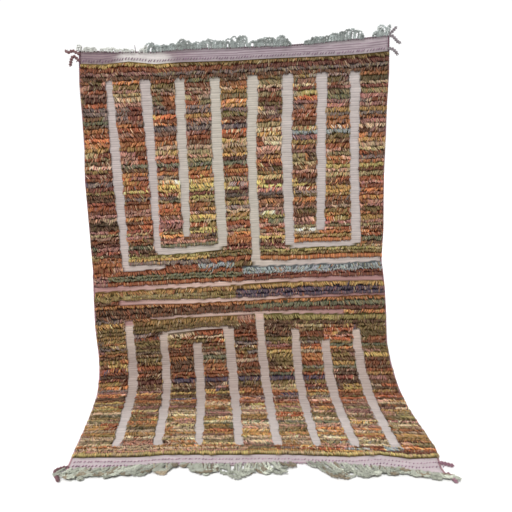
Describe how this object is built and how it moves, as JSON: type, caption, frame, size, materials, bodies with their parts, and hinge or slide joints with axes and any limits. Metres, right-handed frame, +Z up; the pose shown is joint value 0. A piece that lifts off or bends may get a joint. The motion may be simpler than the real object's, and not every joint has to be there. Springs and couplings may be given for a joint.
{
  "type": "beni ourain rug",
  "caption": "Hand-knotted wool rug hung by its top edge, foot swept forward on the floor; flat-woven lines sunk in streaked pile, looped warp fringe at both ends.",
  "frame": {"origin": "floor level under the centre of the bounding box", "axes": "+Z up, -Y out of the pile side towards the foot on the floor, +X to the right of someone who faces the pile"},
  "size_m": [1.6771, 0.9613, 1.8304],
  "materials": {
    "pile_wool": "short streaked wool pile in rust, orange, mustard, olive, wine, mauve, teal, slate and beige",
    "flat_weave": "pale grey-lilac to pink flat weave, ribbed across, with rows of darker mauve twining",
    "warp_fringe": "two-ply grey-green warp, twisted and looped",
    "side_cord": "mauve and maroon wool, overcast and twisted"
  },
  "bodies": {
    "root": {"rug": "pile_wool", "fringe_top": "warp_fringe", "fringe_foot": "warp_fringe", "cord_end_top_left_a": "side_cord", "cord_end_top_left_b": "side_cord", "cord_end_top_right_a": "side_cord", "cord_end_top_right_b": "side_cord", "cord_end_top_right_c": "side_cord", "cord_end_foot_left_a": "side_cord", "cord_end_foot_right_a": "side_cord", "cord_end_foot_right_b": "side_cord"}
  },
  "joints": []
}
